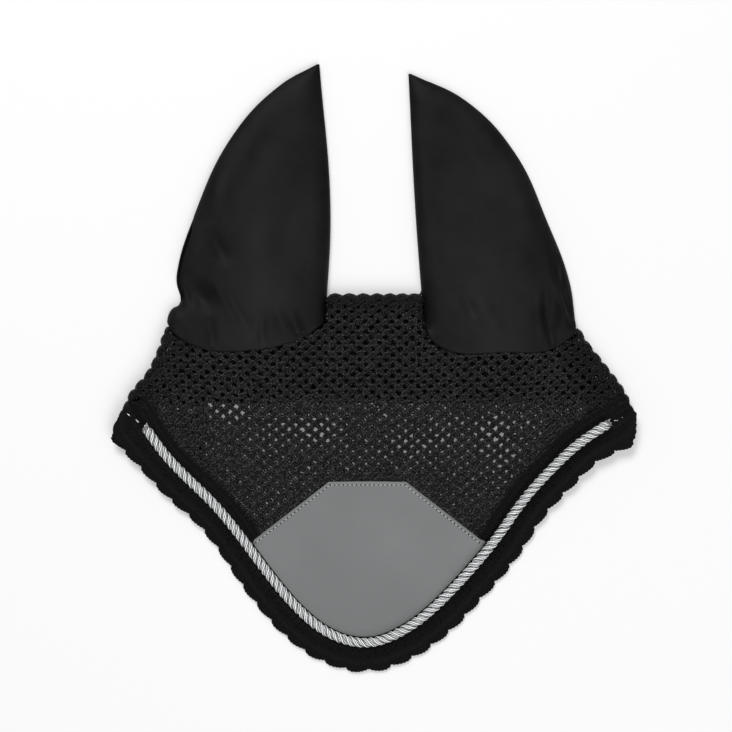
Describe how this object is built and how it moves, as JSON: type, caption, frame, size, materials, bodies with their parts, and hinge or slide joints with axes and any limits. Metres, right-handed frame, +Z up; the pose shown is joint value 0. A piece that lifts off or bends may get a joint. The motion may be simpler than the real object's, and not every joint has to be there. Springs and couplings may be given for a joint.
{
  "type": "horse fly veil",
  "caption": "Crocheted horse fly veil laid flat: cloth ear covers over a pointed openwork brow piece with a scalloped edge, a twisted cord and a smooth brow patch.",
  "frame": {"origin": "centre of the box at the table that the veil lies on", "axes": "+Y towards the ear tips, +Z up out of the veil's face, +X across it to the wearer's left as seen from the front"},
  "size_m": [0.37, 0.4266, 0.0179],
  "materials": {
    "crochet": "open crochet of matt cotton yarn",
    "ear_cloth": "smooth stretch jersey, matt",
    "ear_thread": "overlocked polyester thread",
    "trim_yarn": "dense crochet of matt cotton yarn",
    "cord": "twisted satin thread with a metallic sheen",
    "patch": "smooth grained synthetic leather, matt",
    "patch_thread": "fine polyester thread"
  },
  "bodies": {
    "veil": {"front_panel": "crochet", "poll_panel": "crochet", "poll_edging": "crochet", "left_ear_collar": "ear_cloth", "right_ear_collar": "ear_cloth", "left_ear_seam": "ear_thread", "right_ear_seam": "ear_thread"},
    "left_ear": {"left_ear_front": "ear_cloth", "left_ear_back": "ear_cloth", "left_ear_edging": "ear_thread"},
    "right_ear": {"right_ear_front": "ear_cloth", "right_ear_back": "ear_cloth", "right_ear_edging": "ear_thread"},
    "brow": {"brow_panel": "crochet", "left_poll_tip": "crochet", "right_poll_tip": "crochet", "trim_band": "trim_yarn", "edge_trim": "trim_yarn", "silver_cord": "cord", "cord_tails": "cord", "brow_patch": "patch", "patch_stitching": "patch_thread"}
  },
  "joints": [
    {"name": "left_ear_fold", "type": "hinge", "parent": "veil", "child": "left_ear", "pos_m": [-0.0887, 0.032, 0.0123], "axis": [1, 0, 0], "range_deg": [0, 100]},
    {"name": "right_ear_fold", "type": "hinge", "parent": "veil", "child": "right_ear", "pos_m": [0.0892, 0.032, 0.0123], "axis": [1, 0, 0], "range_deg": [0, 100]},
    {"name": "brow_lift", "type": "hinge", "parent": "veil", "child": "brow", "pos_m": [0, -0.025, 0.0123], "axis": [-1, 0, 0], "range_deg": [0, 90]}
  ]
}
